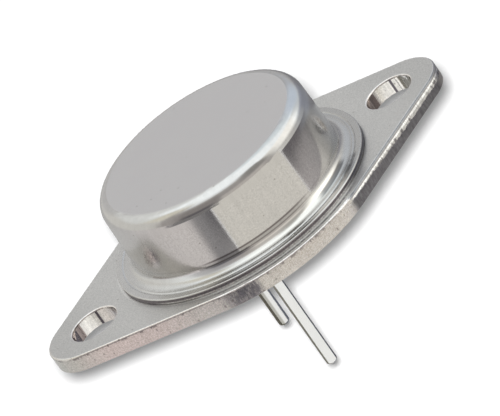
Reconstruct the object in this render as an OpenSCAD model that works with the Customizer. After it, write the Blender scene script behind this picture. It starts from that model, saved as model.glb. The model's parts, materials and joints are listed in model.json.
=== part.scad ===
// Power transistor in a two-lead metal can.
// A steel flange carries everything: the drawn cap is welded to its top, two
// leads pass through it in glass seals, and inside the cap the silicon die
// sits on a copper disc with a bond wire to each lead.
// Frame: the origin is the centre of the flange's flat underside, +X runs
// along the line of the two mounting holes, +Z up through the cap and the
// leads point down. All sizes are in millimetres.

/* [Flange] */
// Spacing of the two mounting holes
hole_pitch = 30.15; // [29.5:0.05:30.8]
// Diameter of each mounting hole
hole_d = 4.1; // [3.6:0.05:4.4]
// Radius rolled onto the upper rim of each mounting hole
hole_roll_r = 0.15; // [0.05:0.05:0.3]
// Distance from each hole's centre to the end of the flange
hole_to_end = 4.325; // [3.8:0.025:5.2]
// Radius of each rounded end
flange_end_r = 3.8; // [3.4:0.1:4.7]
// Width of the flange showing past the cap's rim
flange_margin = 1.0; // [0.6:0.1:2]
// Thickness of the plate
flange_t = 1.4; // [1.2:0.05:1.8]
// Radius rolled onto the top edge by the blanking punch
flange_roll_r = 0.2; // [0.1:0.05:0.4]

/* [Cap] */
// Height of the cap's crown above the flange
cap_height = 6.9; // [5:0.1:9.6]
// Outside radius of the wall just under the shoulder
cap_wall_r = 9.55; // [8:0.05:10]
// Lean of the drawn wall from upright, in degrees
cap_draft = 1.4; // [0.5:0.1:3]
// Thickness of the drawn sheet
cap_sheet_t = 0.45; // [0.35:0.01:0.6]
// Outside radius of the shoulder between wall and crown
cap_shoulder_r = 1.15; // [0.7:0.05:1.6]
// Outside radius of the bend from the wall to the rim
cap_foot_r = 0.9; // [0.4:0.05:1]
// Reach of the flat rim past the wall under the shoulder
cap_rim_w = 1.95; // [1.6:0.05:2.2]
// Radius rolled onto the top edge of the rim when it was trimmed
cap_rim_roll_r = 0.12; // [0.06:0.01:0.2]
// Distance of the ring pressed by the welding electrode from the rim's edge
electrode_ring_inset = 0.7; // [0.5:0.05:0.75]
// Depth of that ring
electrode_ring_depth = 0.06; // [0.02:0.01:0.12]
// Width of that ring
electrode_ring_w = 0.3; // [0.1:0.05:0.5]

/* [Weld ring] */
// Distance of the raised ring's middle from the edge of the cap's rim
weld_ring_inset = 0.7; // [0.5:0.05:0.9]
// Width of the raised ring
weld_ring_w = 0.6; // [0.3:0.05:0.9]
// Height of the raised ring
weld_ring_h = 0.04; // [0.02:0.01:0.1]

/* [Leads and seals] */
// Spacing of the two leads
lead_pitch = 10.92; // [10.6:0.02:11.2]
// Distance of the row of leads from the centre of the cap
lead_offset = 1.815; // [1.6:0.005:2]
// Diameter of each lead
lead_d = 0.97; // [0.8:0.01:1.15]
// Length of each lead below the flange
lead_length = 11.7; // [9.8:0.1:14]
// Rounding of the lead's tip
lead_tip_r = 0.2; // [0.1:0.05:0.35]
// Height of each bonding post above the flange
post_height = 2.4; // [1.8:0.1:3]
// Diameter of the flattened head of each post
post_head_d = 1.7; // [1.5:0.05:1.9]
// Thickness of that head
post_head_t = 0.4; // [0.3:0.05:0.6]
// Diameter of the hole each glass seal fills
seal_d = 3.2; // [2.6:0.1:3.4]
// Set-back of each end of the glass from the faces of the flange
seal_setback = 0.08; // [0.04:0.01:0.2]
// Depth of the hollow in each end of the glass
seal_dish = 0.14; // [0.05:0.01:0.25]

/* [Die and its mounting] */
// Distance of the die from the centre of the cap, away from the leads
die_offset = 2.4; // [2:0.1:2.8]
// Diameter of the copper disc
spreader_d = 9.2; // [8:0.1:9.6]
// Thickness of the copper disc
spreader_t = 0.9; // [0.6:0.05:1.2]
// Bevel round the top of the copper disc
spreader_bevel = 0.15; // [0.05:0.05:0.3]
// Thickness of the braze under the copper disc
braze_t = 0.1; // [0.05:0.01:0.15]
// Side of the square silicon die
die_w = 4.6; // [3.4:0.1:5.2]
// Thickness of the silicon die
die_t = 0.25; // [0.2:0.01:0.35]
// Width of the ledge etched round the top of the die
die_ledge_w = 0.18; // [0.1:0.01:0.3]
// Depth of that ledge
die_ledge_depth = 0.08; // [0.04:0.01:0.12]
// Thickness of the solder under the die
solder_t = 0.08; // [0.05:0.01:0.12]
// Width of the solder showing past each side of the die
solder_border = 0.15; // [0.05:0.05:0.3]

/* [Bond wires] */
// Diameter of the emitter wire
emitter_wire_d = 0.5; // [0.3:0.05:0.6]
// Diameter of the base wire
base_wire_d = 0.38; // [0.25:0.01:0.5]
// Half of the turn each wire makes over its loop, in degrees
wire_half_turn = 55; // [52:1:65]
// Length of each pressed bond foot
bond_length = 1.1; // [0.8:0.05:1.2]
// Width of each bond foot as a share of its wire's diameter
foot_width_share = 1.6; // [1.4:0.1:1.8]
// Thickness of each bond foot as a share of its wire's diameter
foot_thickness_share = 0.8; // [0.6:0.05:0.9]
// Distance of each bond on the die from the die's nearer edge
bond_inset = 1.1; // [0.9:0.05:1.4]

/* [Hidden] */
$fn = 96;
small_fn = 32;
over = 1;

lead_r = lead_d / 2;
seal_r = seal_d / 2;
hole_r = hole_d / 2;

// The rings round the cap, from its wall outwards.
cap_rim_r = cap_wall_r + cap_rim_w;
electrode_ring_r = cap_rim_r - electrode_ring_inset;
weld_ring_r = cap_rim_r - weld_ring_inset;
flange_side_r = cap_rim_r + flange_margin;

// The outline: the ends and the middle arcs joined by lines tangent to both.
end_x = hole_pitch / 2 + hole_to_end - flange_end_r;
tangent_angle = acos((flange_side_r - flange_end_r) / end_x);
tangent_run = end_x * sin(tangent_angle);
// Width of the strip swept along each flank, how far it is set in, and how far
// the rolled edge stops short of tangent.
flank_half_w = flange_end_r / 2;
flank_inset = 0.006;
roll_cut = 0.004;
// Where the corners of the plate's core lie, as a share of a flank's length
// from either end.
core_corner_share = 0.25;

// Heights of the stack on the flange.
ring_top_z = flange_t + weld_ring_h;
rim_top_z = ring_top_z + cap_sheet_t;
crown_z = flange_t + cap_height;
spreader_z = flange_t + braze_t;
solder_z = spreader_z + spreader_t;
die_z = solder_z + solder_t;
die_top_z = die_z + die_t;
post_top_z = flange_t + post_height;

steel = "silver";
bright_nickel = "gainsboro";
glass = "darkslategray";
copper = "peru";
solder_grey = "darkgray";
silicon = "dimgray";
aluminium = "lightgray";

// Half section of a plate of a given half width with its top edge rolled. The
// roll meets both faces a hair short of tangent, so that where two rolled
// plates run into each other their edges cross cleanly.
module rolled_section(half_w, plate_t, roll_r) {
    roll_x = half_w - roll_r + roll_cut;
    roll_z = plate_t - roll_r + roll_cut;
    square([roll_x, plate_t]);
    square([half_w, roll_z]);
    intersection() {
        square([half_w, plate_t]);
        translate([roll_x, roll_z]) circle(r = roll_r, $fn = small_fn);
    }
}

module flange_section(half_w) {
    rolled_section(half_w, flange_t, flange_roll_r);
}

// One straight flank, swept along the line tangent to the two arcs. It is set
// in by a hair, so that the arcs run over its ends without a sliver between.
module rolled_flank() {
    middle_r = flange_side_r - flank_half_w - flank_inset;
    translate([middle_r * cos(tangent_angle), middle_r * sin(tangent_angle), 0])
        rotate([90, 0, tangent_angle])
            linear_extrude(height = tangent_run) flange_section(flank_half_w);
}

// A point on the middle line of a flank's strip, part of the way along it.
function flank_point(share) =
    (flange_side_r - flank_half_w / 2) * [cos(tangent_angle), sin(tangent_angle)]
    + share * tangent_run * [sin(tangent_angle), -cos(tangent_angle)];

// The plate between the four flanks, with its corners inside their strips.
module plate_core() {
    side = flank_point(core_corner_share);
    end = flank_point(1 - core_corner_share);
    linear_extrude(height = flange_t)
        polygon([side, end, [end[0], -end[1]], [side[0], -side[1]], -side, -end,
            [-end[0], end[1]], [-side[0], side[1]]]);
}

module flange_blank() {
    rotate_extrude() flange_section(flange_side_r);
    for (side = [-1, 1]) translate([side * end_x, 0, 0])
        rotate_extrude() flange_section(flange_end_r);
    for (end = [0, 1], flank = [0, 1])
        mirror([end, 0, 0]) mirror([0, flank, 0]) rolled_flank();
    plate_core();
}

// A punched hole whose upper rim is rolled inwards.
module mounting_hole() {
    translate([0, 0, -over]) cylinder(r = hole_r, h = flange_t + 2 * over);
    rotate_extrude() translate([0, flange_t - hole_roll_r])
        difference() {
            square([hole_r + hole_roll_r, hole_roll_r + over]);
            translate([hole_r + hole_roll_r, 0])
                circle(r = hole_roll_r, $fn = small_fn);
        }
}

module weld_ring() {
    rotate_extrude()
        translate([weld_ring_r - weld_ring_w / 2, flange_t / 2])
            square([weld_ring_w, flange_t / 2 + weld_ring_h]);
}

module at_lead(side) {
    translate([-lead_offset, side * lead_pitch / 2, 0]) children();
}

module header_plate() {
    color(steel) difference() {
        union() {
            flange_blank();
            weld_ring();
        }
        for (side = [-1, 1]) {
            translate([side * hole_pitch / 2, 0, 0]) mounting_hole();
            at_lead(side) translate([0, 0, -over])
                cylinder(r = seal_r, h = flange_t + 2 * over);
        }
    }
}

// The solid form inside the cap's outer face, or inside its inner face when
// the face is moved inwards by a setback.
module cap_form(setback) {
    shoulder_r = cap_shoulder_r - setback;
    foot_r = cap_foot_r + setback;
    foot_z = rim_top_z - setback;
    shoulder = [cap_wall_r - cap_shoulder_r * cos(cap_draft), crown_z - cap_shoulder_r];
    face = [cos(cap_draft), sin(cap_draft)];
    down = [sin(cap_draft), -cos(cap_draft)];
    wall_top = shoulder + shoulder_r * face;
    wall_drop = wall_top[1] - foot_z - foot_r * (1 - sin(cap_draft));
    wall_low = wall_top + wall_drop / cos(cap_draft) * down;
    foot = wall_low + foot_r * face;
    rotate_extrude()
        polygon([[0, foot_z - over], [0, crown_z - setback],
            [shoulder[0], crown_z - setback], shoulder, wall_top, wall_low,
            [wall_low[0], foot_z - over]]);
    rotate_extrude() translate(shoulder) circle(r = shoulder_r);
    rotate_extrude()
        difference() {
            polygon([wall_low - [foot_r, 0], wall_low, foot, [foot[0], foot_z - over],
                [wall_low[0] - foot_r, foot_z - over]]);
            translate(foot) circle(r = foot_r);
        }
}

// The flat rim outside the foot bend, trimmed square with its top edge rolled.
module cap_rim() {
    translate([0, 0, ring_top_z])
        rotate_extrude() rolled_section(cap_rim_r, cap_sheet_t, cap_rim_roll_r);
}

// Radius of the arc that is as deep as given across twice the given half width.
function arc_radius(half_w, depth) = (half_w * half_w / depth + depth) / 2;

// The shallow ring that the welding electrode leaves in the rim.
module electrode_ring() {
    mark_r = arc_radius(electrode_ring_w / 2, electrode_ring_depth);
    rotate_extrude()
        translate([electrode_ring_r, rim_top_z + mark_r - electrode_ring_depth])
            circle(r = mark_r, $fn = small_fn);
}

module cap() {
    color(bright_nickel) difference() {
        union() {
            intersection() {
                cap_form(0);
                translate([0, 0, ring_top_z]) cylinder(r = cap_rim_r, h = cap_height);
            }
            cap_rim();
        }
        cap_form(cap_sheet_t);
        electrode_ring();
    }
}

// A rod end or rim with a rounded edge, as a ring of round section.
module round_ring(middle_r, edge_r) {
    rotate_extrude() translate([middle_r, 0]) circle(r = edge_r, $fn = small_fn);
}

// A lead with a rounded tip below and a flattened bonding head above.
module lead() {
    head_edge_r = post_head_t / 2;
    head_flat_r = post_head_d / 2 - head_edge_r;
    tip_flat_r = lead_r - lead_tip_r;
    translate([0, 0, -lead_length]) {
        cylinder(r = tip_flat_r, h = 2 * lead_tip_r);
        translate([0, 0, lead_tip_r]) {
            round_ring(tip_flat_r, lead_tip_r);
            cylinder(r = lead_r, h = lead_length + post_top_z - head_edge_r - lead_tip_r);
        }
    }
    translate([0, 0, post_top_z - post_head_t]) {
        cylinder(r = head_flat_r, h = post_head_t);
        translate([0, 0, head_edge_r]) round_ring(head_flat_r, head_edge_r);
    }
}

module base_lead() {
    color(bright_nickel) at_lead(-1) lead();
}

module emitter_lead() {
    color(bright_nickel) at_lead(1) lead();
}

// A glass bead fused between lead and flange, dished at both ends.
module seal() {
    ring_w = seal_r - lead_r;
    dish_r = arc_radius(ring_w / 2, seal_dish);
    middle_r = (seal_r + lead_r) / 2;
    low_z = seal_setback;
    high_z = flange_t - seal_setback;
    rotate_extrude() difference() {
        translate([lead_r, low_z]) square([ring_w, high_z - low_z]);
        translate([middle_r, low_z + seal_dish - dish_r]) circle(r = dish_r);
        translate([middle_r, high_z - seal_dish + dish_r]) circle(r = dish_r);
    }
}

module base_seal() {
    color(glass) at_lead(-1) seal();
}

module emitter_seal() {
    color(glass) at_lead(1) seal();
}

module spreader_braze() {
    color(solder_grey) translate([die_offset, 0, flange_t])
        cylinder(d = spreader_d, h = braze_t);
}

module heat_spreader() {
    color(copper) translate([die_offset, 0, spreader_z]) {
        cylinder(d = spreader_d, h = spreader_t - spreader_bevel);
        translate([0, 0, spreader_t - spreader_bevel])
            cylinder(d1 = spreader_d, d2 = spreader_d - 2 * spreader_bevel,
                h = spreader_bevel);
    }
}

module square_slab(side, height) {
    translate([-side / 2, -side / 2, 0]) cube([side, side, height]);
}

module die_solder() {
    color(solder_grey) translate([die_offset, 0, solder_z])
        square_slab(die_w + 2 * solder_border, solder_t);
}

module silicon_die() {
    color(silicon) translate([die_offset, 0, die_z]) {
        square_slab(die_w, die_t - die_ledge_depth);
        square_slab(die_w - 2 * die_ledge_w, die_t);
    }
}

// A round-ended pad pressed flat from the wire.
module bond_foot(wire_d, foot_t) {
    round_r = wire_d * foot_width_share / 2;
    straight = bond_length - 2 * round_r;
    linear_extrude(height = foot_t) {
        translate([-straight / 2, -round_r]) square([straight, 2 * round_r]);
        for (end = [-1, 1]) translate([end * straight / 2, 0])
            circle(r = round_r, $fn = small_fn);
    }
}

// A wire looped in one upright plane from a bond on the die to a post head.
module bond_wire(side, wire_d) {
    foot_t = foot_thickness_share * wire_d;
    start = [die_offset, side * (die_w / 2 - bond_inset), die_top_z];
    finish = [-lead_offset, side * lead_pitch / 2, post_top_z];
    span = finish - start;
    heading = atan2(span[1], span[0]);
    chord = norm(span);
    climb = asin(span[2] / chord);
    loop_r = chord / (2 * sin(wire_half_turn));
    translate(start) rotate([0, 0, heading]) {
        bond_foot(wire_d, foot_t);
        translate([norm([span[0], span[1]]), 0, span[2]]) bond_foot(wire_d, foot_t);
        translate([0, 0, foot_t / 2]) rotate([0, -climb, 0])
            translate([chord / 2, 0, -loop_r * cos(wire_half_turn)])
                rotate([90, 0, 0]) rotate([0, 0, 90 - wire_half_turn])
                    rotate_extrude(angle = 2 * wire_half_turn)
                        translate([loop_r, 0])
                            circle(d = wire_d, $fn = small_fn);
    }
}

module base_wire() {
    color(aluminium) bond_wire(-1, base_wire_d);
}

module emitter_wire() {
    color(aluminium) bond_wire(1, emitter_wire_d);
}

header_plate();
cap();
base_lead();
emitter_lead();
base_seal();
emitter_seal();
spreader_braze();
heat_spreader();
die_solder();
silicon_die();
base_wire();
emitter_wire();
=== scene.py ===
"""Looks and studio for the power transistor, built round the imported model.

Units are metres. The part's frame has its origin at the centre of the
flange's flat underside, +X along the mounting holes and +Z up through the cap.
"""
import json
import math

import bpy
from mathutils import Matrix, Vector


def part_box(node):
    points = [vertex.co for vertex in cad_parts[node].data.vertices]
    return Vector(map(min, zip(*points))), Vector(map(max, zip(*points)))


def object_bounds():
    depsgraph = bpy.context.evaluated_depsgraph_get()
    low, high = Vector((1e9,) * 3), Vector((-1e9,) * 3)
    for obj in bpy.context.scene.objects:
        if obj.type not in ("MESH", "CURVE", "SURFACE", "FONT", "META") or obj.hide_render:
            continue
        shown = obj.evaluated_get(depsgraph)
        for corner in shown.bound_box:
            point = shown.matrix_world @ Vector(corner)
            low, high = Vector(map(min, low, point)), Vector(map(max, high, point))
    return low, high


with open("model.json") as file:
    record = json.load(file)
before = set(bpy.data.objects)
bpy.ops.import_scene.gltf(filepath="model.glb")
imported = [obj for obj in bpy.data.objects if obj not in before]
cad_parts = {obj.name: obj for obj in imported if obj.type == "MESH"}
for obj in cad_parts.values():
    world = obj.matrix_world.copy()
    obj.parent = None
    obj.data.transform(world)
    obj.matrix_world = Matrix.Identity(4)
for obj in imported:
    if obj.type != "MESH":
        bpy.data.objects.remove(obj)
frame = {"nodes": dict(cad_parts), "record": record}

cad_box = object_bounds()

MM = 0.001
NODES = frame["nodes"]
HOLES = next(m["dims"] for m in frame["record"]["mounts"] if m["kind"] == "bolt_pattern")
HOLE_X = HOLES["spacing_x_mm"] / 2 * MM  # each mounting hole's distance from the centre
HOLE_R = HOLES["hole_r_mm"] * MM
WELD_RING_H = 0.04 * MM  # the weld ring stands this far over the flange's top
WHITE = (1, 1, 1)


# ---------------------------------------------------------------- node trees

class Tree:
    """A short way to write a node tree: every call adds a node and returns its output."""

    def __init__(self, tree):
        self.tree = tree
        tree.nodes.clear()

    def put(self, socket, value):
        if isinstance(value, bpy.types.NodeSocket):
            self.tree.links.new(value, socket)
        elif isinstance(value, (tuple, list)) and len(value) == 3 and socket.type == "RGBA":
            socket.default_value = (*value, 1.0)
        else:
            socket.default_value = value

    def node(self, kind, inputs=None, **settings):
        made = self.tree.nodes.new(kind)
        for key, value in settings.items():
            setattr(made, key, value)
        for key, value in (inputs or {}).items():
            self.put(made.inputs[key], value)
        return made

    def math(self, operation, *values, clamp=False):
        made = self.node("ShaderNodeMath", operation=operation, use_clamp=clamp)
        for socket, value in zip(made.inputs, values):
            self.put(socket, value)
        return made.outputs[0]

    def mul(self, first, *others):
        for other in others:
            first = self.math("MULTIPLY", first, other)
        return first

    def add(self, a, b):
        return self.math("ADD", a, b)

    def sub(self, a, b):
        return self.math("SUBTRACT", a, b)

    def absolute(self, value):
        return self.math("ABSOLUTE", value)

    def either(self, a, b):
        return self.math("MAXIMUM", a, b)

    def step(self, value, low, high, to_low=0.0, to_high=1.0):
        """Smooth change from to_low to to_high as value goes from low to high."""
        made = self.node(
            "ShaderNodeMapRange",
            {"Value": value, "From Min": low, "From Max": high,
             "To Min": to_low, "To Max": to_high},
            interpolation_type="SMOOTHSTEP",
        )
        return made.outputs["Result"]

    def ramp(self, value, low, high, to_low, to_high, start=0.0):
        """The same with low and high in mm from start."""
        return self.step(value, start + low * MM, start + high * MM, to_low, to_high)

    def over(self, value, low, high, start=0.0):
        """0 below low and 1 above high, both in mm from start."""
        return self.ramp(value, low, high, 0.0, 1.0, start)

    def under(self, value, low, high, start=0.0):
        """1 below low and 0 above high, both in mm from start."""
        return self.ramp(value, low, high, 1.0, 0.0, start)

    def between(self, value, rising, falling, start=0.0):
        """1 between a rising and a falling edge, each edge a pair in mm from start."""
        return self.mul(self.over(value, *rising, start), self.under(value, *falling, start))

    def band(self, value, middle, width, start=0.0):
        """1 at the middle, fading to 0 at half the width either side, in mm from start."""
        away = self.absolute(self.sub(value, start + middle * MM))
        return self.step(away, width * MM * 0.2, width * MM * 0.5, 1.0, 0.0)

    def mix(self, factor, a, b):
        made = self.node("ShaderNodeMix", data_type="RGBA", clamp_factor=True)
        sockets = made.inputs[0], made.inputs[6], made.inputs[7]
        for socket, value in zip(sockets, (factor, a, b)):
            self.put(socket, value)
        return made.outputs[2]

    def shade(self, colour, value):
        """The colour made lighter or darker by a value round 1."""
        made = self.node(
            "ShaderNodeVectorMath", {0: colour, "Scale": value}, operation="SCALE"
        )
        return made.outputs[0]

    def spread(self, value, size):
        """1 plus or minus half of size, as a noise value goes from 0 to 1."""
        return self.add(1.0 - size / 2, self.mul(value, size))

    def noise(self, vector, scale, detail=2.0, roughness=0.5):
        made = self.node(
            "ShaderNodeTexNoise",
            {"Vector": vector, "Scale": scale, "Detail": detail, "Roughness": roughness},
        )
        return made.outputs["Fac"]

    def spots(self, vector, scale, size):
        """1 in small round spots, 0 elsewhere; size is a share of the spacing."""
        made = self.node(
            "ShaderNodeTexVoronoi", {"Vector": vector, "Scale": scale, "Randomness": 1.0}
        )
        return self.step(made.outputs["Distance"], size * 0.5, size, 1.0, 0.0)

    def stretched(self, vector, x, y, z):
        """The vector times x, y and z: a small share draws a pattern out along its axis."""
        made = self.node(
            "ShaderNodeVectorMath", {0: vector, 1: (x, y, z)}, operation="MULTIPLY"
        )
        return made.outputs[0]

    def upright(self, vector, share):
        return self.stretched(vector, 1, 1, share)

    def place(self):
        return self.node("ShaderNodeTexCoord").outputs["Object"]

    def split(self, vector):
        return tuple(self.node("ShaderNodeSeparateXYZ", {0: vector}).outputs)

    def length(self, x, y):
        flat = self.node("ShaderNodeCombineXYZ", {0: x, 1: y}).outputs[0]
        made = self.node("ShaderNodeVectorMath", {0: flat}, operation="LENGTH")
        return made.outputs["Value"]

    def bump(self, height, distance, strength=1.0, normal=None):
        made = self.node(
            "ShaderNodeBump", {"Height": height, "Distance": distance, "Strength": strength}
        )
        if normal is not None:
            self.put(made.inputs["Normal"], normal)
        return made.outputs["Normal"]

    def shine(self, colour):
        """Ends the tree in plain light of one colour."""
        glow = self.node("ShaderNodeEmission", {"Color": colour, "Strength": 1.0})
        self.node("ShaderNodeOutputMaterial", {"Surface": glow.outputs[0]})

    def finish(self, **inputs):
        """Ends the tree in one Principled shader."""
        names = {key.replace("_", " ").title().replace("Ior", "IOR"): value
                 for key, value in inputs.items()}
        shader = self.node("ShaderNodeBsdfPrincipled", names)
        self.node("ShaderNodeOutputMaterial", {"Surface": shader.outputs[0]})


def material(name):
    made = bpy.data.materials.new(name)
    made.use_nodes = True
    return made, Tree(made.node_tree)


def give(made, *names):
    for name in names:
        mesh = NODES[name].data
        mesh.materials.clear()
        mesh.materials.append(made)


# ------------------------------------------------------------------ materials
# A tone is a base colour. A pair of tones is blended by a noise or along the part.

CAP_TONES = {
    "wall": ((0.555, 0.55, 0.545), (0.60, 0.585, 0.57)),
    "crown": ((0.635, 0.62, 0.63), (0.658, 0.647, 0.645)),
    "blue_reflection": (0.73, 0.80, 0.88),
    "pit": (0.30, 0.28, 0.26),
    "fillet_highlight_low": ((0.60, 0.595, 0.59), (0.72, 0.70, 0.66)),
    "fillet_highlight_high": ((0.89, 0.925, 0.96), (0.98, 0.97, 0.93)),
    "foot_reflection_dark": (0.15, 0.145, 0.145),
    "painted_dark_band": (0.15, 0.14, 0.15),
    "painted_dark_zone": (0.22, 0.21, 0.21),
    "dark_reflection_line": (0.16, 0.14, 0.14),
    "cut": ((0.22, 0.20, 0.215), (0.09, 0.09, 0.11)),
    "cut_lit_bottom": ((0.60, 0.59, 0.585), (0.16, 0.16, 0.17)),
}


def cap_nickel():
    """Matte crown, bright drawn wall with fine grain, duller foot and trimmed rim."""
    made, t = material("cap_nickel")
    place = t.place()
    x, y, z = t.split(place)
    radius = t.length(x, y)
    aside = t.absolute(y)
    low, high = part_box("cap")
    foot_z, rim_r, top_z = low[2], high[0], high[2]

    upright = t.noise(t.upright(place, 0.05), 9000, 3)
    streak = t.noise(t.upright(place, 0.10), 2200, 4, 0.6)
    grain = t.noise(place, 7500, 2, 0.6)
    fine = t.noise(place, 13000, 2, 0.6)
    mottle = t.noise(place, 420, 4, 0.6)
    pits = t.spots(place, 780, 0.075)

    crown = t.mul(t.under(radius, -3.1, -3.0, rim_r), t.over(z, -1.0, -0.9, top_z))
    off_crown = t.sub(1.0, crown)
    shoulder = t.over(z, -1.9, -1.3, top_z)
    foot = t.under(z, 0.7, 1.2, foot_z)

    # The wall's grain fades out over the shoulder and the foot.
    plain = t.either(shoulder, t.mul(foot, 0.75))
    grained = t.add(1.0, t.mul(t.sub(t.spread(grain, 0.50), 1.0), t.sub(1.0, plain)))
    wall_tone = t.mix(mottle, *CAP_TONES["wall"])
    wall_tone = t.shade(wall_tone, t.mul(grained, t.spread(streak, 0.20)))
    # Painted reflections: the wall is darker towards its +X end, and the shoulder above it is
    # bluer and lighter.
    wall_tone = t.shade(wall_tone, t.ramp(x, 6.6, 7.6, 1.0, 0.82))
    blue_reflection = t.mul(shoulder, t.over(x, 5.8, 7.4), t.under(y, -3.5, -1.0))
    wall_tone = t.mix(t.mul(blue_reflection, 0.45), wall_tone, CAP_TONES["blue_reflection"])
    crown_tone = t.shade(t.mix(mottle, *CAP_TONES["crown"]), t.spread(fine, 0.14))
    base = t.mix(crown, wall_tone, crown_tone)
    base = t.mix(t.mul(pits, 0.55), base, CAP_TONES["pit"])

    # A painted highlight on the fillet between wall and foot, brightest on its upper part and
    # fainter at the cap's two ends.
    fillet = t.between(z, (0.46, 0.50), (1.02, 1.28), foot_z)
    past_end = t.over(x, -5.5, -2.0)
    fillet_highlight_tone = t.mix(t.over(z, 0.68, 0.80, foot_z),
                        t.mix(past_end, *CAP_TONES["fillet_highlight_low"]),
                        t.mix(past_end, *CAP_TONES["fillet_highlight_high"]))
    highlight_share = t.mul(t.ramp(x, 4.5, 7.5, 0.85, 0.15), t.ramp(x, -9.6, -7.0, 0.2, 1.0))
    base = t.mix(t.mul(fillet, highlight_share), base, fillet_highlight_tone)

    # Painted dark reflections on the foot between the front and the +X side: one in the hollow
    # of the fillet and a cloudy one on the flat part.
    foot_reflection_area = t.mul(t.over(x, 4.0, 5.2), t.under(y, -6.6, -5.6))
    hollow = t.between(z, (0.50, 0.56), (0.72, 0.84), foot_z)
    flat = t.mul(t.over(x, 5.2, 6.2), t.between(radius, (-1.0, -0.8), (-0.42, -0.30), rim_r))
    cloud = t.step(t.noise(place, 650, 3, 0.6), 0.35, 0.62, 0.25, 0.95)
    foot_dark_reflections = t.either(hollow, t.mul(flat, cloud))
    foot_dark_reflections = t.mul(foot_dark_reflections, foot_reflection_area, t.ramp(x, 5.4, 7.0, 0.82, 0.96))
    base = t.mix(foot_dark_reflections, base, CAP_TONES["foot_reflection_dark"])

    # Painted shade: a dark line round the foot, along its front and its back.
    painted_dark_band = t.mul(t.band(radius, -0.62, 0.24, rim_r), t.over(aside, 8.0, 9.4), foot,
                t.over(x, -6.5, -3.0))
    base = t.mix(t.mul(painted_dark_band, t.step(streak, 0.30, 0.55, 0.45, 0.9)), base, CAP_TONES["painted_dark_band"])

    # Two painted dark reflection lines round the bottom of the wall, darkest at the front,
    # where a painted dark zone also lies round them.
    wall_reflection_lines = t.either(t.band(z, 1.57, 0.20, foot_z), t.mul(t.band(z, 1.25, 0.16, foot_z), 0.8))
    deep = t.mul(t.between(x, (-6.6, -5.0), (1.8, 4.2)), t.under(y, -7.0, -6.0))
    painted_dark_zone = t.between(z, (1.02, 1.14), (1.60, 1.72), foot_z)
    base = t.mix(t.mul(painted_dark_zone, deep, 0.42), base, CAP_TONES["painted_dark_zone"])
    base = t.mix(t.mul(wall_reflection_lines, t.add(0.12, t.mul(deep, 0.80))), base, CAP_TONES["dark_reflection_line"])

    # The rim's trimmed edge, painted dark as shade and darkest towards +X, with painted light
    # along its bottom at the front and the back.
    cut = t.mul(t.over(radius, -0.06, -0.02, rim_r), t.under(z, 0.33, 0.37, foot_z))
    cut_lit_bottom = t.mul(t.under(z, 0.08, 0.18, foot_z), t.over(aside, 4.0, 6.0))
    to_right = t.over(x, 5.5, 8.0)
    cut_shade_tone = t.mix(cut_lit_bottom, t.mix(to_right, *CAP_TONES["cut"]),
                     t.mix(to_right, *CAP_TONES["cut_lit_bottom"]))
    base = t.mix(cut, base, t.shade(cut_shade_tone, t.spread(grain, 1.6)))

    wall_rough = t.add(0.075, t.mul(upright, 0.05))
    crown_rough = t.add(0.18, t.mul(fine, 0.06))
    rough = t.add(t.mul(off_crown, wall_rough), t.mul(crown, crown_rough))
    rough = t.add(rough, t.mul(foot, 0.08))
    rough = t.add(rough, t.mul(cut, 0.2))
    # The cap is less polished at its two ends, below the crown.
    rough = t.add(rough, t.mul(t.over(t.absolute(x), 6.4, 7.8), off_crown, 0.09))
    t.finish(
        base_color=base, metallic=1.0, roughness=rough,
        normal=t.bump(t.mul(upright, off_crown), 0.0015 * MM, 0.6),
    )
    return made


TOP_TONES = {
    "plain": ((0.50, 0.488, 0.475), (0.56, 0.542, 0.524)),
    "painted_dark_band": (0.16, 0.15, 0.16),
    "painted_highlight_ring": (0.95, 0.93, 0.91),
    "painted_dark_smudge": (0.20, 0.19, 0.195),
}


def flange_top_tone(t, x, y, radius, weld_dulled_and_lit, mottle, streak):
    """Satin plating, with painted light and shade on it round the cap's rim."""
    rim_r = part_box("cap")[1][0]
    aside = t.absolute(y)
    tone = t.mix(mottle, *TOP_TONES["plain"])
    # Painted light: lighter towards the middle of each wing, darker towards its ends.
    tone = t.shade(tone, t.ramp(t.absolute(x), 12.0, 17.5, 1.065, 0.975))
    # Painted highlight: lighter beside the cap's rim.
    tone = t.shade(tone, t.add(1.0, t.mul(weld_dulled_and_lit, 0.3)))
    # Painted shade: a dark band round the cap's rim, at the front and the back.
    painted_dark_band = t.mul(t.band(radius, 0.42, 0.34, rim_r), t.over(aside, 8.6, 10.4))
    painted_dark_band = t.mul(painted_dark_band, t.step(streak, 0.35, 0.6, 0.4, 0.9))
    tone = t.mix(painted_dark_band, tone, TOP_TONES["painted_dark_band"])
    # A painted highlight: a bright ring right beside the rim, mostly at the front and the
    # back.
    painted_highlight_ring = t.mul(t.under(radius, 0.16, 0.26, rim_r),
                   t.either(t.over(aside, 7.0, 8.8), t.ramp(x, -4.0, -1.0, 0.3, 0.0)))
    tone = t.mix(painted_highlight_ring, tone, TOP_TONES["painted_highlight_ring"])
    # A painted dark reflection: a smudge on the top in front of the cap towards +X.
    painted_dark_smudge = t.mul(t.between(x, (6.0, 7.0), (8.2, 9.2)), t.under(y, -8.0, -7.0))
    painted_dark_smudge = t.mul(painted_dark_smudge, t.step(mottle, 0.3, 0.7, 0.2, 0.5))
    return t.mix(painted_dark_smudge, tone, TOP_TONES["painted_dark_smudge"])


EDGE_TONES = {
    "plain": ((0.60, 0.585, 0.56), (0.645, 0.595, 0.56)),
    "pink": (0.70, 0.605, 0.58),
    "end": (0.545, 0.545, 0.51),
    "burnished": ((0.42, 0.41, 0.40), (0.78, 0.775, 0.765)),
    "notch": (0.13, 0.12, 0.125),
    "flange_side_reflection": (0.17, 0.16, 0.18),
    "painted_edge_line": ((0.80, 0.765, 0.745), (0.19, 0.185, 0.19)),
    "pit": (0.22, 0.18, 0.17),
    "dash": (0.20, 0.17, 0.17),
    "torn": (0.172, 0.166, 0.172),
}


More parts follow.
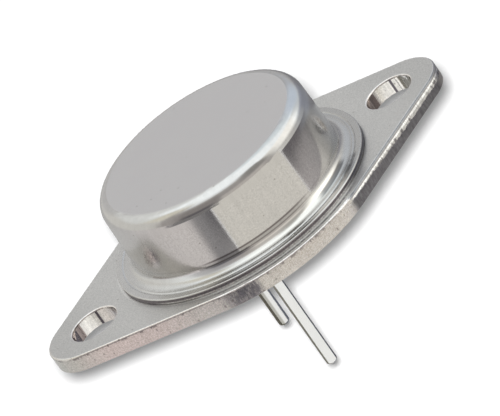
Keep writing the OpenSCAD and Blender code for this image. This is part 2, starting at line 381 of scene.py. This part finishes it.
def flange_edge_tone(t, place, top_z, burnished, torn_grain, streak):
    """The sheared side: bare and pinkish, burnished bright where it also tore."""
    x, y, z = t.split(place)
    tone = t.mix(t.noise(place, 130, 2), *EDGE_TONES["plain"])
    pink = t.between(x, (-18.0, -15.5), (-12.5, -8.0))
    tone = t.mix(t.mul(pink, 0.8), tone, EDGE_TONES["pink"])
    tone = t.shade(tone, t.spread(streak, 0.30))

    bright = t.mix(t.over(z, -0.50, -0.38, top_z), *EDGE_TONES["burnished"])
    notch = t.step(t.noise(t.upright(place, 0.3), 2600, 3, 0.6), 0.52, 0.60)
    notch = t.mul(notch, t.under(z, -0.46, -0.30, top_z))
    bright = t.mix(t.mul(notch, 0.85), bright, EDGE_TONES["notch"])
    tone = t.mix(burnished, tone, t.shade(bright, t.spread(streak, 1.5)))

    tone = t.shade(tone, t.ramp(x, -19.2, -16.5, 0.86, 0.97))
    tone = t.mix(t.ramp(x, -18.6, -17.4, 0.9, 0.0), tone, EDGE_TONES["end"])
    # A painted dark reflection on the side, at the front beside the leads.
    beside_leads = t.mul(t.between(x, (-7.2, -5.4), (-4.1, -3.5)), t.under(y, -9.0, -8.0))
    flange_side_reflection = t.mul(beside_leads, t.step(torn_grain, 0.32, 0.58, 0.30, 0.95))
    return t.mix(flange_side_reflection, tone, EDGE_TONES["flange_side_reflection"])


BORE_TONES = {
    "plain": (0.66, 0.64, 0.60),
    "far": ((0.34, 0.325, 0.34), (0.90, 0.93, 1.0)),
    "end": (0.62, 0.53, 0.50),
    "dark_end_reflection": (0.19, 0.15, 0.14),
    "dark_reflection_line": (0.075, 0.065, 0.08),
}


def bore_tone(t, x, y, streak):
    """The mounting holes' walls, with painted dark and light reflections along them."""
    along = t.sub(x, t.mul(t.math("SIGN", x), HOLE_X))
    end = t.mul(t.sub(along, t.mul(streak, 0.5 * MM)), -1.0)
    # Painted reflection towards the +X end: dark in the left hole, light and bluish in the
    # right.
    far = t.mix(t.over(x, -1.0, 1.0), *BORE_TONES["far"])
    tone = t.mix(t.under(end, -1.9, -1.2), BORE_TONES["plain"], far)
    # Painted reflections near the -X end: pinkish right at it and dark just inside it.
    tone = t.mix(t.over(end, 1.62, 1.80), tone, BORE_TONES["end"])
    dark_end_reflection = t.between(end, (1.00, 1.15), (1.62, 1.80))
    tone = t.mix(t.mul(dark_end_reflection, 0.9), tone, BORE_TONES["dark_end_reflection"])
    # A painted dark reflection line down each hole's far wall.
    dark_reflection_line = t.mul(t.band(along, 0.86, 0.28), t.over(y, 0.0, 0.5))
    tone = t.mix(t.mul(dark_reflection_line, 0.95), tone, BORE_TONES["dark_reflection_line"])
    return t.shade(tone, t.spread(streak, 1.1))


def flange_steel():
    """Nickel over rolled steel: satin faces and a sheared side, burnished along the
    top and torn along the bottom over part of its length."""
    made, t = material("flange_steel")
    place = t.place()
    x, y, z = t.split(place)
    radius = t.length(x, y)
    across = t.absolute(x)
    top_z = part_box("header_plate")[1][2] - WELD_RING_H
    from_hole = t.length(t.sub(across, HOLE_X), y)
    bore = t.under(from_hole, 0.0, 0.10, HOLE_R)
    side = t.mul(t.under(z, -0.03, -0.005, top_z), t.over(z, 0.0, 0.01))
    edge = t.mul(side, t.over(from_hole, 0.55, 0.85, HOLE_R))
    # The welding heat dulled the plating beside the cap's rim; its colour there is also made
    # lighter, a painted highlight.
    rim_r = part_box("cap")[1][0]
    weld_dulled_and_lit = t.mul(t.under(radius, 0.5, 1.1, rim_r), t.under(across, 5.0, 9.0))

    streak = t.noise(t.upright(place, 0.06), 3800, 4, 0.65)
    speck = t.noise(place, 4200, 4, 0.65)
    grain = t.noise(place, 8000, 3, 0.65)
    mottle = t.noise(place, 300, 4, 0.6)
    torn_grain = t.noise(t.upright(place, 0.35), 5200, 4, 0.7)

    # Where the shears tore the steel: from the front's middle round the +X end.
    tear = t.mul(edge, t.over(x, 5.7, 6.4))
    ragged = t.noise(t.upright(place, 0.05), 1500, 4, 0.7)
    torn_line = t.add(t.ramp(x, 5.0, 15.0, 0.70 * MM, 0.40 * MM), t.mul(ragged, 0.46 * MM))
    torn = t.mul(tear, t.step(z, torn_line, t.add(torn_line, 0.06 * MM), 1.0, 0.0))
    burnished = t.sub(tear, torn)

    top_tone = flange_top_tone(t, x, y, radius, weld_dulled_and_lit, mottle, streak)
    edge_tone = flange_edge_tone(t, place, top_z, burnished, torn_grain, streak)
    base = t.mix(side, top_tone, edge_tone)
    base = t.mix(bore, base, bore_tone(t, x, y, streak))

    # A painted highlight along the top edge, and painted shade there where the side is torn.
    lip_low = t.sub(top_z - 0.13 * MM, t.mul(tear, 0.12 * MM))
    painted_edge_line = t.mul(t.step(z, t.sub(lip_low, 0.03 * MM), t.add(lip_low, 0.03 * MM)),
                t.under(z, -0.01, -0.002, top_z))
    painted_edge_line = t.mul(painted_edge_line, t.ramp(x, -18.0, -14.5, 0.5, 0.85))
    base = t.mix(painted_edge_line, base, t.mix(tear, *EDGE_TONES["painted_edge_line"]))

    base = t.shade(base, t.spread(grain, 0.95))
    base = t.mix(t.mul(t.spots(place, 900, 0.10), 0.65), base, (0.26, 0.24, 0.22))
    edge_pits = t.mul(t.spots(t.upright(place, 0.6), 1500, 0.17), edge)
    base = t.mix(t.mul(edge_pits, 0.55), base, EDGE_TONES["pit"])
    # Dark dashes under the top edge, in groups.
    dashes = t.noise(t.upright(place, 0.25), 1900, 4, 0.7)
    groups = t.noise(place, 160, 2)
    dash = t.mul(t.between(z, (-0.38, -0.20), (-0.14, -0.09), top_z), edge,
                 t.step(t.add(dashes, t.mul(groups, 0.6)), 0.80, 0.92), t.sub(1.0, tear))
    base = t.mix(t.mul(dash, 0.7), base, EDGE_TONES["dash"])
    torn_tone = t.shade(EDGE_TONES["torn"], t.spread(torn_grain, 1.9))
    base = t.mix(t.mul(torn, t.ramp(x, 18.2, 18.9, 1.0, 0.45)), base, torn_tone)

    rough = t.add(0.34, t.mul(speck, 0.14))
    for where, change in ((weld_dulled_and_lit, 0.24), (edge, -0.25), (bore, -0.28), (torn, 0.3)):
        rough = t.add(rough, t.mul(where, change))
    relief = t.add(t.mul(speck, 0.5), t.mul(edge, streak, 0.6))
    normal = t.bump(relief, 0.004 * MM, 0.6)
    # The burnished band leans in towards the top, by two in five.
    lean = t.mul(burnished, t.sub(z, top_z), -0.40 / MM)
    normal = t.bump(lean, 1.0 * MM, 1.0, normal)
    normal = t.bump(t.mul(torn, torn_grain), 0.02 * MM, 0.7, normal)
    t.finish(base_color=base, metallic=1.0, roughness=t.either(rough, 0.08), normal=normal)
    return made


def lead_nickel():
    """Bright drawn wire with fine lengthwise lines."""
    made, t = material("lead_nickel")
    place = t.place()
    x, y, _ = t.split(place)
    line = t.noise(t.upright(place, 0.03), 14000, 3)
    base = t.mix(t.noise(place, 700, 3), (0.66, 0.66, 0.64), (0.71, 0.71, 0.685))
    low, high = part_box("base_lead")
    lead_x = (low[0] + high[0]) / 2
    # A painted dark reflection down the -X side of the lead at the back.
    lead_side_reflection = t.mul(t.under(x, -0.16, -0.02, lead_x), t.over(y, 4.0, 5.0))
    base = t.mix(t.mul(lead_side_reflection, 0.9), base, (0.35, 0.34, 0.305))
    # A painted dark reflection line down the +X side of the lead at the front.
    lead_edge_reflection = t.mul(t.over(x, 0.31, 0.37, lead_x), t.under(y, -5.0, -4.0))
    base = t.mix(t.mul(lead_edge_reflection, 0.85), base, (0.15, 0.16, 0.19))
    t.finish(
        base_color=base, metallic=1.0, roughness=t.add(0.10, t.mul(line, 0.10)),
        normal=t.bump(line, 0.003 * MM, 0.5),
    )
    return made


def seal_glass():
    """Dark sealing glass with a faint swirl and a few bubbles."""
    made, t = material("seal_glass")
    place = t.place()
    swirl = t.noise(place, 1500, 4, 0.6)
    bubble = t.spots(place, 2600, 0.16)
    base = t.mix(swirl, (0.012, 0.020, 0.018), (0.035, 0.050, 0.045))
    base = t.mix(t.mul(bubble, 0.5), base, (0.12, 0.14, 0.13))
    t.finish(
        base_color=base, metallic=0.0, roughness=t.add(0.06, t.mul(swirl, 0.06)),
        ior=1.52, normal=t.bump(bubble, 0.01 * MM, 0.5),
    )
    return made


def plain_solid(name, tones, mottle, line, roughness, relief, metallic=1.0):
    """A hidden piece's material. tones are blended by the mottle noise, and the line
    noise roughens the surface: roughness is its least value and its change, and
    relief the bump's distance and strength. A noise is (stretch, scale, ...)."""
    made, t = material(name)
    place = t.place()
    tone_noise = t.noise(t.stretched(place, *mottle[0]), *mottle[1:])
    line_noise = t.noise(t.stretched(place, *line[0]), *line[1:])
    t.finish(
        base_color=t.mix(tone_noise, *tones), metallic=metallic,
        roughness=t.add(roughness[0], t.mul(line_noise, roughness[1])),
        normal=t.bump(line_noise, relief[0] * MM, relief[1]),
    )
    return made


EVEN = (1, 1, 1)
FROST = (EVEN, 2400, 4, 0.65)
HAZE = (EVEN, 900, 3)
DRAWN = (EVEN, 6000, 3)

give(flange_steel(), "header_plate")
give(cap_nickel(), "cap")
give(lead_nickel(), "base_lead", "emitter_lead")
give(seal_glass(), "base_seal", "emitter_seal")
give(plain_solid("solder", ((0.46, 0.46, 0.47), (0.60, 0.60, 0.60)), FROST, FROST,
                 (0.30, 0.2), (0.01, 0.6)), "spreader_braze", "die_solder")
give(plain_solid("copper", ((0.72, 0.36, 0.22), (0.86, 0.48, 0.32)), (EVEN, 380, 4, 0.6),
                 ((0.08, 1, 1), 5200, 3), (0.22, 0.14), (0.004, 0.5)), "heat_spreader")
give(plain_solid("silicon", ((0.10, 0.11, 0.13), (0.16, 0.17, 0.19)), HAZE, HAZE,
                 (0.10, 0.1), (0.002, 0.3), metallic=0.35), "silicon_die")
give(plain_solid("bond_aluminium", ((0.74, 0.75, 0.76), (0.84, 0.85, 0.86)), DRAWN, DRAWN,
                 (0.24, 0.12), (0.003, 0.5)), "base_wire", "emitter_wire")


# --------------------------------------------------------------------- camera

CAMERA_AZIMUTH = -97.18
CAMERA_ELEVATION = 25.15
CAMERA_ROLL = -35.16
CAMERA_DISTANCE = 0.8
CAMERA_AIM = Vector((0.57, 0.28, 0.75)) * MM
LENS = 720.06  # mm, on the default sensor


def direction(azimuth, elevation):
    a, e = math.radians(azimuth), math.radians(elevation)
    return Vector((math.cos(e) * math.cos(a), math.cos(e) * math.sin(a), math.sin(e)))


def camera_axes():
    back = direction(CAMERA_AZIMUTH, CAMERA_ELEVATION)
    level = Vector((0, 0, 1)).cross(back).normalized()
    upright = back.cross(level)
    turn = math.radians(CAMERA_ROLL)
    right = math.cos(turn) * level + math.sin(turn) * upright
    return right, back.cross(right), back


right, up, back = camera_axes()
camera_data = bpy.data.cameras.new("camera")
camera_data.lens = LENS
camera = bpy.data.objects.new("camera", camera_data)
camera.matrix_world = Matrix.Translation(CAMERA_AIM + back * CAMERA_DISTANCE) @ Matrix(
    (right, up, back)
).transposed().to_4x4()
bpy.context.scene.collection.objects.link(camera)
bpy.context.scene.camera = camera


# --------------------------------------------------------------------- studio

FLOOR_GAP = 11 * MM  # from the leads' tips down to the floor
FLOOR_HALF = 0.6
FLOOR_GREY = (0.85, 0.85, 0.85)
FLOOR_WHITE_SHARE = 0.15  # of plain white, which makes the lit paper just white
ROOM_TONE = (0.86, 0.85, 0.805)
ROOM_FILL = 0.2  # strength of the plain light that diffuse rays get


def link(obj):
    bpy.context.scene.collection.objects.link(obj)
    return obj


def mesh_object(name, points, faces, made):
    mesh = bpy.data.meshes.new(name)
    mesh.from_pydata(points, [], faces)
    mesh.materials.append(made)
    return link(bpy.data.objects.new(name, mesh))


def ray_kinds(t):
    """1 for the rays that show the background: camera, glossy and transmission."""
    path = t.node("ShaderNodeLightPath").outputs
    kinds = t.add(path["Is Camera Ray"], path["Is Glossy Ray"])
    return t.math("ADD", kinds, path["Is Transmission Ray"], clamp=True)


def floor_material():
    made, t = material("floor_paper")
    paper = t.node("ShaderNodeBsdfDiffuse", {"Color": FLOOR_GREY})
    white = t.node("ShaderNodeEmission", {"Color": WHITE, "Strength": 1.0})
    share = t.mul(ray_kinds(t), FLOOR_WHITE_SHARE)
    both = t.node("ShaderNodeMixShader", {0: share, 1: paper.outputs[0], 2: white.outputs[0]})
    t.node("ShaderNodeOutputMaterial", {"Surface": both.outputs[0]})
    return made


floor_z = cad_box[0][2] - FLOOR_GAP
floor = mesh_object(
    "floor",
    [(-FLOOR_HALF, -FLOOR_HALF, floor_z), (FLOOR_HALF, -FLOOR_HALF, floor_z),
     (FLOOR_HALF, FLOOR_HALF, floor_z), (-FLOOR_HALF, FLOOR_HALF, floor_z)],
    [(0, 1, 2, 3)], floor_material(),
)


def turn_in(t, x, y, ahead):
    """Degrees from the azimuth ahead to the direction (x, y)."""
    front, left = direction(ahead, 0), direction(ahead + 90, 0)
    forward = t.add(t.mul(x, front[0]), t.mul(y, front[1]))
    lateral = t.add(t.mul(x, left[0]), t.mul(y, left[1]))
    return t.math("DEGREES", t.math("ARCTAN2", lateral, forward))


def room_light():
    """Plain light for diffuse rays; a studio of soft boxes for the others. A turn is
    counted from the viewer's azimuth and a rise from the horizon, in degrees."""
    world = bpy.data.worlds.new("studio")
    world.use_nodes = True
    bpy.context.scene.world = world
    t = Tree(world.node_tree)
    look = t.node("ShaderNodeTexCoord").outputs["Generated"]
    x, y, z = t.split(look)
    turn = turn_in(t, x, y, CAMERA_AZIMUTH)
    rise = t.math("DEGREES", t.math("ARCSINE", z))

    def window(turns, turn_soft, rises, rise_soft):
        """1 inside a range of turns and rises, with soft edges."""
        return t.mul(
            t.mul(t.step(turn, turns[0] - turn_soft[0], turns[0] + turn_soft[0]),
                  t.step(turn, turns[1] - turn_soft[1], turns[1] + turn_soft[1], 1.0, 0.0)),
            t.mul(t.step(rise, rises[0] - rise_soft[0], rises[0] + rise_soft[0]),
                  t.step(rise, rises[1] - rise_soft[1], rises[1] + rise_soft[1], 1.0, 0.0)),
        )

    def disc(elevation, reach, soft):
        """1 inside a round patch opposite the viewer, fading out over soft edges."""
        way = tuple(direction(CAMERA_AZIMUTH + 180, elevation))
        along = t.node("ShaderNodeVectorMath", {0: look, 1: way}, operation="DOT_PRODUCT")
        return t.step(along.outputs["Value"], math.cos(math.radians(reach + soft)),
                      math.cos(math.radians(reach - soft)))

    # Each panel lies over the ones before it.
    panels = {
        "low": (window((106, 180), (10, 2), (-40, 11), (1, 5)), (0.38, 0.38, 0.42)),
        "side": (window((62, 112), (14, 14), (7, 90), (9, 1)), (1.52, 1.50, 1.42)),
        "top": (disc(79, 48, 6), (1.42, 1.49, 1.51)),
        "behind": (disc(18, 22, 10), (0.68, 0.675, 0.67)),
        "warm": (window((-120, -66), (12, 12), (36, 68), (8, 9)), (0.93, 0.90, 0.78)),
        "cool": (window((122, 176), (14, 6), (38, 60), (6, 8)), (1.02, 1.12, 1.17)),
        "far_left": (window((-178, -112), (10, 10), (30, 54), (5, 10)), (1.02, 1.04, 1.02)),
        "far_right": (window((128, 172), (14, 8), (14, 44), (6, 8)), (0.76, 0.80, 0.86)),
        "near": (t.mul(window((-80, 52), (8, 7), (-90, 90), (1, 1)),
                       t.step(rise, 36, 76, 1.0, 0.0)), (0.50, 0.475, 0.455)),
        "glow": (window((-12, 44), (6, 8), (-10, 20), (1, 7)), (0.70, 0.66, 0.62)),
        "dark": (window((-60, -13), (10, 7), (-40, 44), (1, 14)), (0.36, 0.335, 0.325)),
        "dark_foot": (window((-54, -20), (8, 6), (-40, 12), (1, 8)), (0.17, 0.16, 0.17)),
        "right_ear": (t.mul(window((20, 50), (10, 6), (26, 62), (8, 8)), 0.9),
                      (0.37, 0.36, 0.34)),
    }
    tone = ROOM_TONE
    for inside, colour in panels.values():
        tone = t.mix(inside, tone, colour)

    path = t.node("ShaderNodeLightPath").outputs
    tone = t.mix(path["Is Camera Ray"], tone, WHITE)
    seen = t.node("ShaderNodeBackground", {"Color": tone, "Strength": 1.0})
    plain = t.node("ShaderNodeBackground", {"Color": WHITE, "Strength": ROOM_FILL})
    both = t.node(
        "ShaderNodeMixShader", {0: ray_kinds(t), 1: plain.outputs[0], 2: seen.outputs[0]}
    )
    t.node("ShaderNodeOutputWorld", {"Surface": both.outputs[0]})


room_light()


CARD_WALL_R = 9.6 * MM  # the cards' edges are given as seen from this point of the wall
CARD_WALL_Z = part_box("cap")[0][2] + 3.5 * MM
CARD_LIFT = 0.5 * MM
CARD_STEPS = 24
LEAD_CARD_REACH = (0.5 * MM, 46 * MM)
LEAD_CARD_LIFT = 0.8 * MM
LEAD_CARD_STEPS = 16


def fan(name, made, centre, azimuths, reach, lift, steps):
    """A flat ring sector over the floor that only reflections show."""
    points = []
    for step in range(steps + 1):
        way = direction(azimuths[0] + (azimuths[1] - azimuths[0]) * step / steps, 0)
        points += [(centre[0] + way[0] * r, centre[1] + way[1] * r, floor_z + lift)
                   for r in reach]
    faces = [(2 * k, 2 * k + 1, 2 * k + 3, 2 * k + 2) for k in range(steps)]
    card = mesh_object(name, points, faces, made)
    card.visible_camera = False
    card.visible_diffuse = False
    card.visible_shadow = False
    card.visible_transmission = False


def low_card(name, azimuths, drops, colours):
    """A sheet round the cap. Its near and far edges are given by how far below level
    they look from the middle of the cap's wall, and its colour changes from its first
    azimuth to its last."""
    fall = CARD_WALL_Z - floor_z - CARD_LIFT
    reach = [CARD_WALL_R + fall / math.tan(math.radians(drop)) for drop in drops]
    made, t = material(name)
    x, y, _ = t.split(t.place())
    turn = turn_in(t, x, y, sum(azimuths) / 2)
    half = (azimuths[1] - azimuths[0]) / 2
    t.shine(t.mix(t.step(turn, -half, half), *colours))
    fan(name, made, (0, 0), azimuths, reach, CARD_LIFT, CARD_STEPS)


def lead_card(name, lead, azimuths, colour):
    """A dark wedge behind a lead, which darkens one of the lead's edges."""
    low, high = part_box(lead)
    centre = [(low[k] + high[k]) / 2 for k in range(2)]
    made, t = material(name)
    t.shine(colour)
    fan(name, made, centre, azimuths, LEAD_CARD_REACH, LEAD_CARD_LIFT, LEAD_CARD_STEPS)


# Each card's name, azimuths, drops of its near and far edge, and colour at each azimuth.
CARDS = [
    ("left_sheet", (-206, -168), (50, 1.6), (0.80, 0.77, 0.76), (0.83, 0.79, 0.77)),
    ("left_sheet_near", (-168, -145), (31, 26), (0.83, 0.79, 0.77), (0.70, 0.675, 0.66)),
    ("left_sheet_mid", (-168, -149), (26, 18), (0.84, 0.80, 0.78), (0.84, 0.80, 0.78)),
    ("left_panel", (-145, -119), (31, 29), (0.82, 0.79, 0.74), (0.80, 0.77, 0.72)),
    ("left_flag_near", (-145, -119), (29, 26), (0.15, 0.14, 0.17), (0.10, 0.095, 0.11)),
    ("left_flag_soft", (-149, -136), (26, 17.5), (0.84, 0.80, 0.78), (0.36, 0.35, 0.355)),
    ("left_flag", (-136, -120.5), (26, 23), (0.36, 0.35, 0.355), (0.44, 0.425, 0.425)),
    ("left_flag_far", (-136, -120.5), (23, 17.5), (0.36, 0.35, 0.355), (0.17, 0.165, 0.175)),
    ("left_edge", (-168, -160), (18, 1.6), (0.83, 0.79, 0.77), (0.45, 0.43, 0.43)),
    ("left_dark", (-160, -112), (17.5, 1.6), (0.30, 0.29, 0.29), (0.27, 0.26, 0.26)),
    ("front_near", (-119, -37), (31, 27.1), (0.86, 0.82, 0.75), (0.86, 0.82, 0.75)),
    ("front_line", (-120.5, -46), (27.1, 26.5), (0.20, 0.18, 0.17), (0.20, 0.18, 0.17)),
    ("front_sheet", (-119.5, -37), (26.5, 1.6), (0.93, 0.90, 0.83), (0.93, 0.90, 0.83)),
    ("right_flag", (-36, 20), (26.5, 23), (0.60, 0.57, 0.56), (0.36, 0.35, 0.35)),
    ("right_flag_near", (-36, 8), (31, 26.5), (0.60, 0.57, 0.56), (0.36, 0.35, 0.35)),
    ("right_flag_far", (-36, 20), (23, 19), (0.14, 0.13, 0.14), (0.14, 0.13, 0.14)),
    ("right_sheet", (-36, 20), (19, 1.6), (0.88, 0.87, 0.83), (0.48, 0.47, 0.46)),
    ("behind", (5, 88), (60, 31), (0.13, 0.12, 0.12), (0.11, 0.11, 0.12)),
    ("far_right_near", (8, 80), (31, 26.5), (0.17, 0.165, 0.16), (0.14, 0.14, 0.15)),
    ("far_right", (20, 80), (26.5, 1.6), (0.34, 0.34, 0.37), (0.28, 0.28, 0.29)),
    ("far_left", (80, 154), (31, 1.6), (0.50, 0.50, 0.49), (0.74, 0.73, 0.72)),
]
for name, azimuths, drops, *colours in CARDS:
    low_card(name, azimuths, drops, colours)

LEFT_TONE = (0.26, 0.25, 0.22)
RIGHT_TONE = (0.16, 0.17, 0.21)
near_lead, far_lead = sorted(("base_lead", "emitter_lead"), key=lambda n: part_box(n)[0][1])
lead_card("near_lead_left", near_lead, (84, 172), LEFT_TONE)
lead_card("near_lead_right", near_lead, (10, 84), RIGHT_TONE)
lead_card("far_lead_left", far_lead, (84, 200), LEFT_TONE)
lead_card("far_lead_right", far_lead, (14, 84), RIGHT_TONE)


# --------------------------------------------------------------------- lights

# The floor's own light stands just up and to the left of the camera, so that
# the object's shadow shows as a soft edge along its lower right.
SHADOW_LEAN = math.radians(0.95)
SHADOW_SOFT = math.radians(1.6)
FLOOR_LIGHT = 25.0
# The object's own light is a wide sun, which the metal doesn't mirror.
OBJECT_LIGHT = 2.4
OBJECT_LIGHT_WIDTH = math.radians(60)
OBJECT_LIGHT_WAY = direction(-130, 55)


def lamp(name, kind, way, place, strength, group, receivers, **settings):
    """A lamp that shines from way and lights only its receivers, held in one group."""
    data = bpy.data.lights.new(name, kind)
    data.energy = strength
    for key, value in settings.items():
        setattr(data, key, value)
    obj = link(bpy.data.objects.new(name, data))
    obj.matrix_world = way.to_track_quat("Z", "Y").to_matrix().to_4x4()
    obj.location = place
    lit = bpy.data.collections.new(group)
    for receiver in receivers:
        lit.objects.link(receiver)
    obj.light_linking.receiver_collection = lit
    return obj


def even_light(data, strength):
    """Light that doesn't weaken with distance, so that the whole floor is lit alike."""
    data.use_nodes = True
    t = Tree(data.node_tree)
    falloff = t.node("ShaderNodeLightFalloff", {"Strength": strength})
    glow = t.node("ShaderNodeEmission", {"Strength": falloff.outputs["Constant"]})
    t.node("ShaderNodeOutputLight", {"Surface": glow.outputs[0]})


floor_way = (back + SHADOW_LEAN * (up - right).normalized()).normalized()
floor_lamp = lamp(
    "floor_lamp", "AREA", floor_way, CAMERA_AIM + floor_way * CAMERA_DISTANCE, 1.0,
    "floor_only", [floor], shape="DISK", size=SHADOW_SOFT * CAMERA_DISTANCE,
)
even_light(floor_lamp.data, FLOOR_LIGHT)
object_lamp = lamp(
    "object_lamp", "SUN", OBJECT_LIGHT_WAY, OBJECT_LIGHT_WAY * CAMERA_DISTANCE, OBJECT_LIGHT,
    "object_only", NODES.values(), angle=OBJECT_LIGHT_WIDTH,
)
object_lamp.visible_glossy = False

bpy.context.scene.view_settings.view_transform = "Standard"
